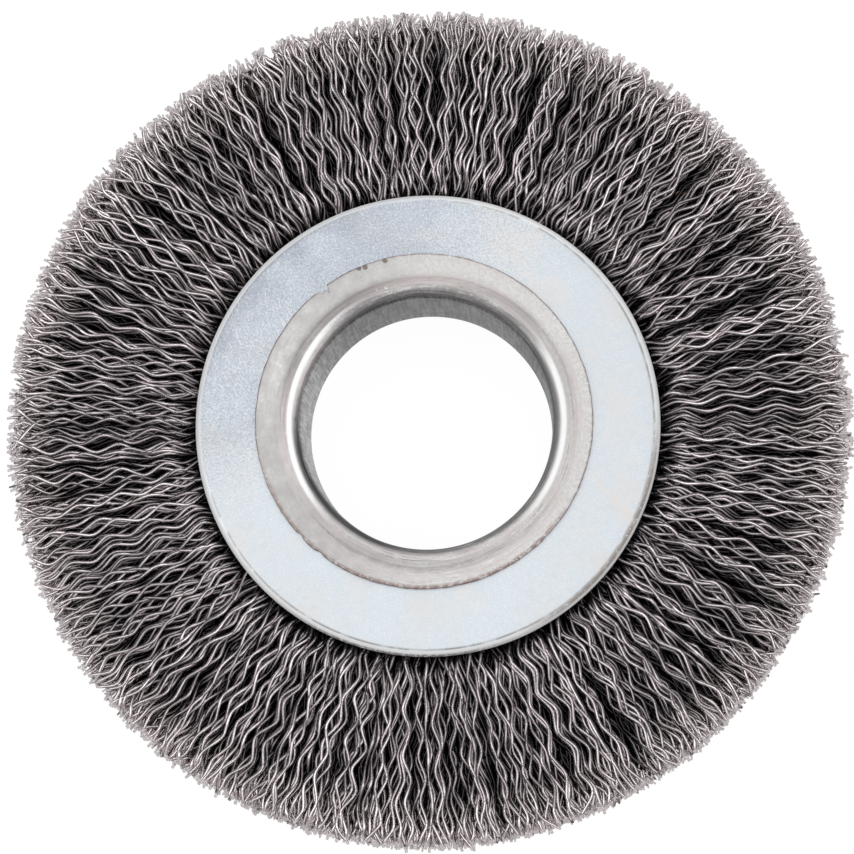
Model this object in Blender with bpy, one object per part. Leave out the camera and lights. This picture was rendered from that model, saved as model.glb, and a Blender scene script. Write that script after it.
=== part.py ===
"""A crimped wire wheel brush, lying on its face with its axis along +Z.

Wire filaments are folded round a core ring in tufts. Two stamped plates clamp them, and a
steel sleeve runs through the bore and is rolled over both plates. Lengths are in metres.
"""

import math
import random

import bmesh
import bpy
from mathutils import Matrix, Vector

# Fits between the pieces
CLEARANCE = 0.0003

# Sleeve: the bore, its rolled ends and the flange that each end is pressed into
BORE_DIAMETER = 0.0508
HUB_WIDTH = 0.0252
SLEEVE_WALL = 0.0012
MOUTH_RADIUS = 0.0024
CREST_WIDTH = 0.0012
STEP_WIDTH = 0.0010
FLANGE_DROP = 0.0008
FLANGE_WIDTH = 0.0042
FLANGE_THICKNESS = 0.0008

# The front flange was rolled out unevenly, so its edge lies off the axis of the bore
FLANGE_OFFSET = 0.0007
FLANGE_OFFSET_ANGLE = math.radians(146)

# Tear in the edge of the front flange, and the shallow bites a quarter of a turn from it
TEAR_ANGLE = math.radians(125.5)
TEAR_WIDTH = 0.0024
TEAR_DEPTH = 0.0019
BITE_ANGLES = (math.radians(223), math.radians(232))
BITE_WIDTH = 0.0020
BITE_DEPTH = 0.0006

# Plates: a flat face, and a rim curled inwards
PLATE_DIAMETER = 0.0942
PLATE_THICKNESS = 0.0012
PLATE_RIM_RADIUS = 0.0018

# Core ring, which bears on the sleeve
CORE_WIRE_DIAMETER = 0.0032

# Wire fill
OUTER_DIAMETER = 0.1725
FACE_WIDTH = 0.0246
TIP_WIDTH = 0.0170
CROWN_DEPTH = 0.0050
CRIMP_LENGTH = 0.0093
CRIMP_HEIGHT = 0.0014
TUFT_COUNT = 32
TUFT_RIDGES = 3
RIDGE_DEPTH = 0.0013
RIDGE_VARIATION = 0.0004
TIP_VARIATION = 0.0008
TIP_NOTCH = 0.0014
PHASE_WAVES = 4
SHORTEST_STEP_SHARE = 0.1
SEED = 7

# Facets round a turned piece, along its rolled bend and round the core wire
TURN_SEGMENTS = 48
BEND_SEGMENTS = 3
CORE_WIRE_SEGMENTS = 6

# Places that follow from the sizes
MID_PLANE = HUB_WIDTH / 2
BORE_RADIUS = BORE_DIAMETER / 2
SLEEVE_RADIUS = BORE_RADIUS + SLEEVE_WALL
CREST_END = BORE_RADIUS + MOUTH_RADIUS + CREST_WIDTH
STEP_END = CREST_END + STEP_WIDTH
FLANGE_RADIUS = STEP_END + FLANGE_WIDTH
FLANGE_FACE = HUB_WIDTH / 2 - FLANGE_DROP
FLANGE_SHIFT = FLANGE_OFFSET * Vector((math.cos(FLANGE_OFFSET_ANGLE), math.sin(FLANGE_OFFSET_ANGLE), 0))
PLATE_RADIUS = PLATE_DIAMETER / 2
PLATE_BORE_RADIUS = SLEEVE_RADIUS + CLEARANCE
PLATE_FACE = FLANGE_FACE - FLANGE_THICKNESS - CLEARANCE
PLATE_BACK = PLATE_FACE - PLATE_THICKNESS
PLATE_LIP = PLATE_FACE - PLATE_RIM_RADIUS
CORE_WIRE_RADIUS = CORE_WIRE_DIAMETER / 2
CORE_RADIUS = SLEEVE_RADIUS + CLEARANCE + CORE_WIRE_RADIUS
OUTER_RADIUS = OUTER_DIAMETER / 2
TUFT_PITCH = math.tau / TUFT_COUNT
PHASE_STEP = CRIMP_LENGTH * PHASE_WAVES / TUFT_COUNT
CRIMP_SLOPE = CRIMP_HEIGHT / (CRIMP_LENGTH / 2)
SHORTEST_STEP = SHORTEST_STEP_SHARE * CRIMP_LENGTH / 2
TUFT_GAP = CLEARANCE + CRIMP_SLOPE * (PHASE_STEP + SHORTEST_STEP)


def clear_scene():
    for thing in list(bpy.data.objects):
        bpy.data.objects.remove(thing)


def make_material(name, colour, roughness, metallic):
    material = bpy.data.materials.new(name)
    material.use_nodes = True
    shader = material.node_tree.nodes["Principled BSDF"]
    shader.inputs["Base Color"].default_value = (*colour, 1)
    shader.inputs["Roughness"].default_value = roughness
    shader.inputs["Metallic"].default_value = metallic
    return material


def make_object(name, mesh_builder, material, sharp_angle=math.radians(35)):
    """Turn a bmesh into a named object, shaded smooth up to the given edge angle."""
    bmesh.ops.recalc_face_normals(mesh_builder, faces=mesh_builder.faces[:])
    mesh = bpy.data.meshes.new(name)
    mesh_builder.to_mesh(mesh)
    mesh_builder.free()
    mesh.shade_smooth()
    mesh.set_sharp_from_angle(angle=sharp_angle)
    mesh.materials.append(material)
    made = bpy.data.objects.new(name, mesh)
    bpy.context.collection.objects.link(made)
    return made


def arc(centre, radius, start, end, segments):
    """Points (radius from the axis, height) along an arc, both ends included."""
    points = []
    for step in range(segments + 1):
        angle = start + (end - start) * step / segments
        points.append((centre[0] + radius * math.cos(angle), centre[1] + radius * math.sin(angle)))
    return points


def revolve(profile):
    """Spin a closed profile of (radius, height) points once round the Z axis."""
    builder = bmesh.new()
    corners = [builder.verts.new((radius, 0, height)) for radius, height in profile]
    edges = [builder.edges.new((a, b)) for a, b in zip(corners, corners[1:] + corners[:1])]
    bmesh.ops.spin(
        builder,
        geom=corners + edges,
        cent=(0, 0, 0),
        axis=(0, 0, 1),
        angle=math.tau,
        steps=TURN_SEGMENTS,
        use_merge=True,
    )
    return builder


def sleeve_half_profile():
    """The upper half of the sleeve's section, from the middle of the bore to the tube's outside."""
    bend_centre = (BORE_RADIUS + MOUTH_RADIUS, HUB_WIDTH / 2 - MOUTH_RADIUS)
    inner_bend = MOUTH_RADIUS - SLEEVE_WALL
    flange_back = FLANGE_FACE - FLANGE_THICKNESS
    mouth = arc(bend_centre, MOUTH_RADIUS, math.pi, math.pi / 2, BEND_SEGMENTS)
    under_bend = arc(bend_centre, inner_bend, math.pi / 2, math.pi, BEND_SEGMENTS - 1)
    return (
        mouth
        + [
            (CREST_END, HUB_WIDTH / 2),
            (STEP_END, FLANGE_FACE),
            (FLANGE_RADIUS, FLANGE_FACE),
            (FLANGE_RADIUS, flange_back),
            (STEP_END, flange_back),
            (CREST_END, HUB_WIDTH / 2 - SLEEVE_WALL),
        ]
        + under_bend
    )


def flange_cutter(name, angle, width, depth):
    """A wedge whose point reaches in from the front flange's edge."""
    overshoot = FLANGE_DROP / 2
    builder = bmesh.new()
    height = FLANGE_THICKNESS + 2 * overshoot
    outer = FLANGE_RADIUS + depth
    spread = width * (outer - FLANGE_RADIUS + depth) / depth / 2
    plan = [(FLANGE_RADIUS - depth, 0), (outer, -spread), (outer, spread)]
    low = MID_PLANE + FLANGE_FACE - FLANGE_THICKNESS - overshoot
    base = builder.faces.new([builder.verts.new((x, y, low)) for x, y in plan])
    grown = bmesh.ops.extrude_face_region(builder, geom=[base])
    top = [item for item in grown["geom"] if isinstance(item, bmesh.types.BMVert)]
    bmesh.ops.translate(builder, verts=top, vec=(0, 0, height))
    bmesh.ops.rotate(builder, verts=builder.verts[:], matrix=Matrix.Rotation(angle, 3, "Z"))
    bmesh.ops.translate(builder, verts=builder.verts[:], vec=FLANGE_SHIFT)
    bmesh.ops.recalc_face_normals(builder, faces=builder.faces[:])
    mesh = bpy.data.meshes.new(name)
    builder.to_mesh(mesh)
    builder.free()
    cutter = bpy.data.objects.new(name, mesh)
    bpy.context.collection.objects.link(cutter)
    cutter.hide_render = True
    cutter.display_type = "WIRE"
    return cutter


def is_front_edge(point):
    """Whether a corner of the sleeve belongs to the edge of the front flange."""
    return point.z > MID_PLANE and point.xy.length > (STEP_END + FLANGE_RADIUS) / 2


def make_sleeve(material):
    """The bore tube, rolled over both plates; its front flange is off centre, torn and nicked."""
    upper = sleeve_half_profile()
    lower = [(radius, -height) for radius, height in reversed(upper)]
    profile = [(radius, MID_PLANE + height) for radius, height in upper + lower]
    builder = revolve(profile)
    front_edge = [corner for corner in builder.verts if is_front_edge(corner.co)]
    bmesh.ops.translate(builder, verts=front_edge, vec=FLANGE_SHIFT)
    sleeve = make_object("hub_sleeve", builder, material)
    cutters = [flange_cutter("tear_cutter", TEAR_ANGLE, TEAR_WIDTH, TEAR_DEPTH)]
    for number, angle in enumerate(BITE_ANGLES, start=1):
        cutters.append(flange_cutter(f"bite_cutter_{number}", angle, BITE_WIDTH, BITE_DEPTH))
    for cutter in cutters:
        cut = sleeve.modifiers.new(cutter.name, "BOOLEAN")
        cut.operation = "DIFFERENCE"
        cut.solver = "EXACT"
        cut.object = cutter
    return sleeve


def plate_profile():
    """Section of the front plate, from its bore out along the face and back along the inside."""
    bend_centre = (PLATE_RADIUS - PLATE_RIM_RADIUS, PLATE_LIP)
    inner_bend = PLATE_RIM_RADIUS - PLATE_THICKNESS
    return (
        [(PLATE_BORE_RADIUS, PLATE_FACE)]
        + arc(bend_centre, PLATE_RIM_RADIUS, math.pi / 2, 0, BEND_SEGMENTS)
        + arc(bend_centre, inner_bend, 0, math.pi / 2, BEND_SEGMENTS - 1)
        + [(PLATE_BORE_RADIUS, PLATE_BACK)]
    )


def make_plate(name, side, material):
    """One clamping plate; side is 1 for the front and -1 for the rear."""
    profile = [(radius, MID_PLANE + side * height) for radius, height in plate_profile()]
    return make_object(name, revolve(profile), material)


def make_core_ring(material):
    """The wire ring that the filaments are folded round."""
    circle = arc((CORE_RADIUS, MID_PLANE), CORE_WIRE_RADIUS, 0, math.tau, CORE_WIRE_SEGMENTS)
    return make_object("core_ring", revolve(circle[:-1]), material, math.radians(80))


def crimp_offset(radius, phase):
    """Sideways offset of the crimped filaments: a zigzag that builds up from the plates' rim."""
    turns = (radius - PLATE_RADIUS - phase) / CRIMP_LENGTH
    zigzag = 1 - 4 * abs((turns % 1) - 0.5)
    build_up = min(max((radius - PLATE_RADIUS) / (CRIMP_LENGTH / 2), 0), 1)
    return CRIMP_HEIGHT / 2 * zigzag * build_up


def crimp_corners(phase):
    """Radii of the zigzag's corners between the plates' rim and the tips."""
    half_wave = CRIMP_LENGTH / 2
    corner = PLATE_RADIUS + phase % half_wave
    corners = []
    while corner < OUTER_RADIUS - TIP_NOTCH - SHORTEST_STEP:
        if corner > PLATE_RADIUS + SHORTEST_STEP:
            corners.append(corner)
        corner += half_wave
    return corners


def fill_half_width(radius):
    """Half the thickness of the fill: it flares from the plates' lips and is crowned at the tips."""
    lip = PLATE_LIP - CLEARANCE
    crown_start = OUTER_RADIUS - CROWN_DEPTH
    if radius <= crown_start:
        share = max(radius - PLATE_RADIUS, 0) / (crown_start - PLATE_RADIUS)
        return lip + (FACE_WIDTH / 2 - lip) * math.sin(share * math.pi / 2)
    share = (radius - crown_start) / CROWN_DEPTH
    drop = (FACE_WIDTH - TIP_WIDTH) / 2
    return FACE_WIDTH / 2 - drop * share**2


def tuft_half_angle(radius):
    return TUFT_PITCH / 2 - TUFT_GAP / 2 / radius


def tuft_point(radius, place, height, centre_angle, phase):
    """A point of a tuft; place runs from -1 to 1 across its width."""
    angle = centre_angle + place * tuft_half_angle(radius) + crimp_offset(radius, phase) / radius
    return (radius * math.cos(angle), radius * math.sin(angle), MID_PLANE + height)


def saddle_depth(legs, height):
    """Depth of a V that rests on the core wire; its sides end at the legs' corners."""
    to_wire = math.atan2(height, legs)
    clear_of_wire = math.asin((CORE_WIRE_RADIUS + CLEARANCE) / math.hypot(height, legs))
    return height / math.tan(to_wire - clear_of_wire)


def root_block(builder, centre_angle, phase):
    """The tuft's root between the plates: a saddle on the core ring, and a waist at the plates' lips.

    Returns the corners of its outer end, in order round the section.
    """
    height = PLATE_BACK - CLEARANCE
    waist_height = PLATE_LIP - CLEARANCE
    waist = PLATE_RADIUS - PLATE_THICKNESS - CLEARANCE
    shoulder = waist - (height - waist_height)
    leg_end = SLEEVE_RADIUS + 2 * CLEARANCE
    saddle_radius = leg_end + saddle_depth(CORE_RADIUS - leg_end, height)
    rings = []
    for radius, half_width in ((leg_end, height), (shoulder, height), (waist, waist_height)):
        ring = []
        for place, side in ((-1, 1), (1, 1), (1, -1), (-1, -1)):
            point = tuft_point(radius, place, side * half_width, centre_angle, phase)
            ring.append(builder.verts.new(point))
        rings.append(ring)
    inner, middle, outer = rings
    saddle = []
    for place in (-1, 1):
        saddle.append(builder.verts.new(tuft_point(saddle_radius, place, 0, centre_angle, phase)))
    builder.faces.new((inner[0], inner[1], saddle[1], saddle[0]))
    builder.faces.new((saddle[0], saddle[1], inner[2], inner[3]))
    builder.faces.new((inner[0], middle[0], middle[1], inner[1]))
    builder.faces.new((inner[2], middle[2], middle[3], inner[3]))
    builder.faces.new((inner[1], middle[1], middle[2], inner[2], saddle[1]))
    builder.faces.new((inner[3], middle[3], middle[0], inner[0], saddle[0]))
    bridge(builder, middle, outer)
    return outer


def ridge_section(builder, radius, tips, heights, centre_angle, phase):
    """Corners round the ridged section at one radius; tips shortens the filaments' ends."""
    count = 2 * TUFT_RIDGES
    ring = []
    for side in (1, -1):
        for step in range(count + 1):
            index = step if side == 1 else count - step
            place = -1 + 2 * index / count
            reach = radius - tips[index]
            level = fill_half_width(reach) - heights[index]
            ring.append(builder.verts.new(tuft_point(reach, place, side * level, centre_angle, phase)))
    return ring


def close_root(builder, root, ring):
    """Fan the ridged section onto the four corners of the root block."""
    side_count = len(ring) // 2
    for start, first, second in ((0, root[0], root[1]), (side_count, root[2], root[3])):
        side = ring[start : start + side_count]
        middle = side_count // 2
        for a, b in zip(side[:middle], side[1 : middle + 1]):
            builder.faces.new((first, a, b))
        builder.faces.new((first, side[middle], second))
        for a, b in zip(side[middle:-1], side[middle + 1 :]):
            builder.faces.new((second, a, b))
    builder.faces.new((root[1], ring[side_count - 1], ring[side_count], root[2]))
    builder.faces.new((root[3], ring[-1], ring[0], root[0]))


def bridge(builder, ring, next_ring):
    for index, corner in enumerate(ring):
        following = (index + 1) % len(ring)
        builder.faces.new((corner, ring[following], next_ring[following], next_ring[index]))


def cap_tips(builder, ring):
    """Close the outer end with strips from the front ridges to the rear ones."""
    last = len(ring) - 1
    for index in range(len(ring) // 2 - 1):
        builder.faces.new((ring[index], ring[index + 1], ring[last - index - 1], ring[last - index]))


def make_tuft(number, material):
    """A bundle of crimped filaments: ridges that zigzag together, from the core ring to the tips.

    Its edges and its middle ridge keep their full length; the other ridges and dips vary a little.
    """
    centre_angle = number * TUFT_PITCH
    phase = (number * PHASE_STEP) % CRIMP_LENGTH
    dice = random.Random(SEED + number % (TUFT_COUNT // 2))
    heights = []
    tips = []
    for index in range(2 * TUFT_RIDGES + 1):
        is_ridge = index % 2 == 1
        is_fixed = index in (0, TUFT_RIDGES, 2 * TUFT_RIDGES)
        variation = 0 if is_fixed else dice.uniform(0, 1)
        heights.append(variation * RIDGE_VARIATION + (0 if is_ridge else RIDGE_DEPTH))
        tips.append(variation * TIP_VARIATION + (0 if is_ridge else TIP_NOTCH))
    level_tips = [0] * len(tips)
    builder = bmesh.new()
    root = root_block(builder, centre_angle, phase)
    ring = ridge_section(builder, PLATE_RADIUS, level_tips, heights, centre_angle, phase)
    close_root(builder, root, ring)
    for radius in crimp_corners(phase):
        next_ring = ridge_section(builder, radius, level_tips, heights, centre_angle, phase)
        bridge(builder, ring, next_ring)
        ring = next_ring
    tip_ring = ridge_section(builder, OUTER_RADIUS, tips, heights, centre_angle, phase)
    bridge(builder, ring, tip_ring)
    cap_tips(builder, tip_ring)
    bmesh.ops.triangulate(builder, faces=builder.faces[:])
    return make_object(f"wire_tuft_{number + 1:02d}", builder, material)


def build():
    clear_scene()
    zinc = make_material("zinc_plated_steel", (0.70, 0.74, 0.78), 0.34, 0.85)
    sleeve_steel = make_material("rolled_steel", (0.72, 0.70, 0.68), 0.38, 0.85)
    core_steel = make_material("core_steel", (0.45, 0.44, 0.43), 0.45, 0.9)
    wire_steel = make_material("wire_steel", (0.36, 0.33, 0.33), 0.42, 0.8)
    make_sleeve(sleeve_steel)
    make_plate("front_plate", 1, zinc)
    make_plate("rear_plate", -1, zinc)
    make_core_ring(core_steel)
    for number in range(TUFT_COUNT):
        make_tuft(number, wire_steel)


build()
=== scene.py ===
import math
from collections import namedtuple

import bpy
import numpy as np
from mathutils import Matrix, Vector


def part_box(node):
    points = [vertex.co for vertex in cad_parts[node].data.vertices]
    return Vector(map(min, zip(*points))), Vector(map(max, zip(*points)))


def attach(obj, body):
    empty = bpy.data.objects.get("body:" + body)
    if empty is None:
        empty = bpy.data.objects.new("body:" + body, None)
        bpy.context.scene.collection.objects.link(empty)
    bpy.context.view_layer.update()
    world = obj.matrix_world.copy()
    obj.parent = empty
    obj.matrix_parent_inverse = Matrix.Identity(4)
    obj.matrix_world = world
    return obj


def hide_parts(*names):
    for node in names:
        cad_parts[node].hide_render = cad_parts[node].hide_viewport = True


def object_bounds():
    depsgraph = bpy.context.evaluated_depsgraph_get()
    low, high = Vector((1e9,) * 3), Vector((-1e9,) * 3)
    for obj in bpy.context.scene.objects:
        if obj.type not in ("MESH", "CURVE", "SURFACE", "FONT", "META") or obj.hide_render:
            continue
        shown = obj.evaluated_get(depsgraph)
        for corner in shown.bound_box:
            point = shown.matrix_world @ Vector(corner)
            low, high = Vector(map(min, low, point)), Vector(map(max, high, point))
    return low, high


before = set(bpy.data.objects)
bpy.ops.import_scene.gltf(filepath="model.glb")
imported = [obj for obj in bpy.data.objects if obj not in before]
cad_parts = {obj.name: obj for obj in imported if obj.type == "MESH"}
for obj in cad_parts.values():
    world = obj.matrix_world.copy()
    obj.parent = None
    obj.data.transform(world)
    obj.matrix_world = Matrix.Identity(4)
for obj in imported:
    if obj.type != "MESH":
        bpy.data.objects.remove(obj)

# Everything is in metres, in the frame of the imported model
cad_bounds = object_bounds()
FLOOR_HEIGHT = cad_bounds[0].z
OUTER_RADIUS = cad_bounds[1].x
HUB_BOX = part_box("hub_sleeve")
PLATE_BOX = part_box("front_plate")
MID_PLANE = (HUB_BOX[0].z + HUB_BOX[1].z) / 2
HUB_HALF = HUB_BOX[1].z - MID_PLANE
FLANGE_RADIUS = HUB_BOX[1].x
PLATE_RADIUS = PLATE_BOX[1].x
PLATE_FACE = PLATE_BOX[1].z - MID_PLANE
PLATE_LIP = PLATE_BOX[0].z - MID_PLANE
TUFT_NODES = sorted(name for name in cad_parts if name.startswith("wire_tuft_"))
TUFT_COUNT = len(TUFT_NODES)
TUFT_PITCH = math.tau / TUFT_COUNT
FILL_HALF = max(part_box(name)[1].z for name in TUFT_NODES) - MID_PLANE
SEED = 11

# Turned pieces
BEND_SEGMENTS = 10
EDGE_SEGMENTS = 3
SHARP_ANGLE = math.radians(40)

# Sleeve. Its front mouth is flared on one side
BORE_RADIUS = 0.0254
SLEEVE_WALL = 0.0012
MOUTH_RADIUS = 0.0024
MOUTH_FLARE = 0.00032
MOUTH_FLARE_ANGLE = math.radians(-60)
CREST_WIDTH = 0.0012
STEP_WIDTH = 0.0010
CREST_START = BORE_RADIUS + MOUTH_RADIUS
STEP_END = CREST_START + CREST_WIDTH + STEP_WIDTH
FLANGE_DROP = 0.0008
FLANGE_THICKNESS = 0.0008
FLANGE_EDGE = 0.00025
FLANGE_OFFSET = 0.0007
FLANGE_OFFSET_ANGLE = math.radians(146)
RING_GROOVE = 0.00005
RING_STEPS = (3, 6)
SLOPE_SEGMENTS = 9
SLEEVE_SEGMENTS = 384

# Damage to the front flange's edge. A chip has an angle in degrees, a distance from the axis and a size
TEAR_ANGLE = math.radians(126)
TEAR_DEPTH = 0.0019
TEAR_RAMP = math.radians(4.6)
TEAR_POWER = 0.8
TEAR_JAG = 0.25
TEAR_TEETH = 160
BITE_ANGLES = (math.radians(222), math.radians(231))
BITE_DEPTH = 0.0005
BITE_WIDTH = math.radians(1.6)
RAGGED_EDGE = 0.00010
EDGE_WAVES = (17, 29, 43, 71, 113)
CHIPS = ((104.3, 0.0341, 0.00055), (111.5, 0.0341, 0.00060), (113.6, 0.0344, 0.00055))

# Plates
PLATE_BORE_RADIUS = 0.0269
PLATE_THICKNESS = 0.0012
PLATE_RIM_RADIUS = 0.0018
PLATE_WAVINESS = 0.00003
SWELL_FADE = 0.004
PLATE_FACE_ROWS = 8
PLATE_SEGMENTS = 256

# Zones of the finishes. A zone begins and is full at two distances in from an edge, and a line has a
# distance out from an edge, a half width and a softness
CURL_ZONE = (0.0014, 0.0010)
RIM_EDGE_ZONE = (0.0006, 0.0002)
RIM_INNER_LINE = (-0.0013, 0.00008, 0.00022)
SMUDGE_RADII = (0.0405, 0.0440)
FLANGE_WARM_ZONE = (0.0005, 0.0030)
FLANGE_STAIN_SHADOW_ZONE = (0.0006, 0.0001)
FLANGE_WIDE_STAIN_SHADOW_ZONE = (0.0012, 0.0004)
FLANGE_SPECK_ZONE = (0.0040, 0.0025)
ROLL_ZONE = (-0.0008, 0.0006)
ROLL_OUTSIDE_ZONE = (0.0002, -0.0010)
ROLL_HIGHLIGHT_LINE = (-0.0002, 0.0003, 0.0006)
MOUTH_ZONE = (-0.0021, -0.0007)
MOUTH_SCUFF_SHADE_ZONE = (-0.0006, 0.0004)
MOUTH_NICK_LINE = (0.0001, 0.0005, 0.0009)
BORE_ZONE = (-0.0006, -0.0001)
BORE_RIM_LINE = (0.0003, 0.00012, 0.00025)

# Wires
WIRE_RADIUS = 0.00038
TIP_TAPER = 0.8
STUB_TAPER = 0.5
WIRE_START = PLATE_RADIUS - 0.0021
STUB_START = 0.0815
CROWN_START = 0.08125
TIP_HALF = 0.0085
TIP_RADIUS = 0.0849
CRIMP_LENGTH = 0.0093
CRIMP_HALF_HEIGHT = 0.00078
CRIMP_THIRD_WAVE = 0.04
PHASE_WAVES = 4

# The locks that the wires of a tuft gather into: how far locks spread in the phase, sideways drift,
# lean and length of their crimps, and how the face of the fill dips between them
LOCKS = 5
LOCK_PHASE = 0.22
LOCK_DRIFT = 0.0017
LOCK_TILT = 0.55
LOCK_LENGTHS = (0.92, 1.10)
LOCK_GATHER = 0.3
LOCK_DIP = 0.0013
LOCK_DIP_GROWTH = 4

# How far single wires spread about their lock, and strays about their tuft
WIRE_PHASE = 0.09
WIRE_DRIFT = 0.0009
WIRE_TILT = 0.25
WIRE_HEIGHTS = (0.75, 1.25)
WIRE_LENGTHS = (0.97, 1.03)
WIRE_RISE = 0.0005
WIRE_SWAY = 0.0004
SWAY_TURN = 1.5 * math.pi
STRAY_DRIFT = 0.0030
STRAY_TILT = 1.2
FRAY_START = 0.0772
FRAY_SIDE = 0.0017
FRAY_LIFT = 0.0009

# The trim of the tips, ragged towards one side of the wheel. Of two values, the first holds for the
# side opposite and the second for the ragged one
TRIM_DIRECTION = math.radians(100)
TRIM_OFFSET = 0.0006
TRIM_OVAL = 0.0003
TRIM_RAGGED = (0.0002, 0.0014)
WIRE_RAGGED = (0.0004, 0.0023)
STUB_SHORTENING = (0.0, 0.0008)
WEB_REACH = (0.0834, 0.0830)
RAGGED_POWER = 1.8
TUFT_RAGGED_SHARE = 0.4
LOCK_RAGGED_SHARE = 0.9
STUB_RAGGED_SHARE = 0.4

# Where wires get painted shade, under the plates' lips and deep in the fill, and where they turn pale
LIP_SINK = 0.0010
LIP_REACH = 0.12
LIP_SHADE = 0.4
DARK_DEPTH = 0.0022
PALE_START = 0.0742
PALE_CLEARING = 0.85

# Layers of wires: how many in a tuft, points along each, where they start, how far they lie below
# the face of the fill, the share of strays and the side that they face. The last layer is stubs,
# wires of which only the tips are drawn
Layer = namedtuple("Layer", "wires rings start sink stray facing")
LAYERS = (
    Layer(10, 56, WIRE_START, (0.0, 0.0006), 0.38, 1),
    Layer(11, 51, WIRE_START, (0.0005, 0.0014), 0.40, 1),
    Layer(21, 36, WIRE_START, (0.0012, 0.0026), 0.50, 1),
    Layer(30, 25, WIRE_START, (0.0022, 0.0042), 0.70, 1),
    Layer(9, 45, WIRE_START, (0.0, 0.0008), 0.38, -1),
    Layer(13, 35, WIRE_START, (0.0006, 0.0020), 0.40, -1),
    Layer(24, 21, WIRE_START, (0.0016, 0.0040), 0.60, -1),
    Layer(240, 2, STUB_START, (0.0016, 0.0220), 0.50, 1),
)
Locks = namedtuple("Locks", "phase drift tilt length tip")
Wires = namedtuple(
    "Wires", "place lock_place phase drift tilt height sink rise length tip sway tone fray_side fray_lift"
)

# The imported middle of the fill. Its phase swings by so many crimps, so many times round the wheel
WEB_RIDGES = 15
WEB_ROWS = 16
WEB_SINK = 0.0038
WEB_RIDGE_DEPTH = 0.0004
WEB_WALL_GAP = 0.0003
WEB_SWINGS = ((0.35, 5), (0.2, 13))
# The middle takes the wires' full painted shade: a dark sheet standing for the wires deep in the fill.
WEB_SHADED_LOOK = (0.3, 1.0, 0.0)

# Colours of the plates
ZINC_BLUE = (0.595, 0.645, 0.69)
ZINC_PALE = (0.68, 0.71, 0.735)
ZINC_PATCH = (0.56, 0.61, 0.655)
ZINC_GRAIN = (0.81, 0.84, 0.86)
ZINC_WARM = (0.71, 0.68, 0.665)
ZINC_DARK_REFLECTION = (0.43, 0.47, 0.54)
ZINC_SMUDGE = (0.34, 0.37, 0.43)
ZINC_SPARKLE = (0.84, 0.88, 0.92)
ZINC_DOT = (0.26, 0.29, 0.34)
ZINC_SCRATCH = (0.93, 0.94, 0.95)
ZINC_STREAK = (0.74, 0.67, 0.60)
RIM_LIGHT_PAINT = (0.95, 0.965, 0.975)
RIM_LINE_BROWN = (0.34, 0.31, 0.28)
RIM_DIRT_AND_SHADE = (0.28, 0.245, 0.22)
RIM_PAINTED_SHADE = (0.14, 0.13, 0.13)
RIM_HIGHLIGHT = (0.98, 0.98, 0.98)

# Colours of the sleeve
STEEL_GREY = (0.64, 0.63, 0.62)
STEEL_PALE = (0.82, 0.815, 0.81)
STEEL_BLOTCH = (0.66, 0.61, 0.60)
STEEL_SCORE = (0.45, 0.39, 0.38)
STEEL_POLISH = (0.95, 0.95, 0.95)
STEEL_TARNISH_AND_SHADE = (0.48, 0.475, 0.465)
STEEL_WARM = (0.62, 0.56, 0.55)
STEEL_STAIN_AND_SHADOW = (0.27, 0.17, 0.15)
STEEL_CHIP = (0.20, 0.165, 0.155)
ROLL_SHADE_DARK = (0.34, 0.325, 0.32)
ROLL_PINK = (0.54, 0.47, 0.465)
ROLL_LINE = (0.16, 0.13, 0.13)
ROLL_HIGHLIGHT = (0.96, 0.96, 0.96)
MOUTH_SCUFF_AND_SHADE = (0.20, 0.195, 0.20)
MOUTH_SHADE = (0.10, 0.105, 0.115)
MOUTH_NICK = (0.97, 0.97, 0.97)
# The bore's tones carry painted shade as well as their scratches
BORE_SHADED_DEEP = (0.20, 0.20, 0.205)
BORE_SHADED_RAISED = (0.50, 0.50, 0.50)
BORE_TOP_SHADED_DEEP = (0.028, 0.030, 0.032)
BORE_TOP_SHADED_RAISED = (0.15, 0.15, 0.15)
BORE_RIM = (0.10, 0.10, 0.11)

# Colours of the wires and the core ring
WIRE_GREY = (0.76, 0.69, 0.705)
WIRE_BRIGHT = (1.0, 0.915, 0.935)
WIRE_WORN = (0.36, 0.315, 0.32)
WIRE_DEPTH_SHADE = (0.016, 0.013, 0.014)
WIRE_TIP = (0.96, 0.88, 0.88)
WIRE_RUST = (0.26, 0.14, 0.08)
END_GREY = (0.58, 0.52, 0.52)
END_PALE = (0.92, 0.86, 0.86)
END_GAP_SHADE = (0.10, 0.08, 0.08)
END_CELLS = 1500
CORE_DARK = (0.34, 0.33, 0.32)
CORE_LIGHT = (0.50, 0.49, 0.47)

# Stage. The sky's light goes from the horizon's to the zenith's between two upward parts of its direction
FLOOR_SIZE = 3.0
FLOOR_PAPER = (0.82, 0.82, 0.82)
FLOOR_GLOW = 1.06
FLOOR_GLOW_SHARE = 0.9
SKY_COLOUR = (1.0, 1.0, 1.0)
SKY_LIGHT = (0.14, 0.66)
SKY_SPAN = (0.20, 0.95)
Lamp = namedtuple("Lamp", "name place size power")
LAMPS = (
    Lamp("overhead", (-0.05, 0.0, 0.95), 0.70, 1.3),
    Lamp("left", (-0.62, -0.10, 0.55), 0.50, 1.3),
    Lamp("right", (0.62, -0.22, 0.55), 0.50, 1.3),
    Lamp("top", (0.05, 0.63, 0.55), 0.50, 1.2),
)

# Camera, as the photograph was taken: a slight slant from below right
IMAGE_SIZE = 854
SENSOR_WIDTH = 36.0
CAMERA_DISTANCE = 0.486
CAMERA_TILT = math.radians(8.03)
CAMERA_DIRECTION = math.radians(290.2)
CLIP_START = 0.01
FOCAL_PIXELS = 2357
TARGET_PIXEL_SHIFT = 2.2


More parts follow.
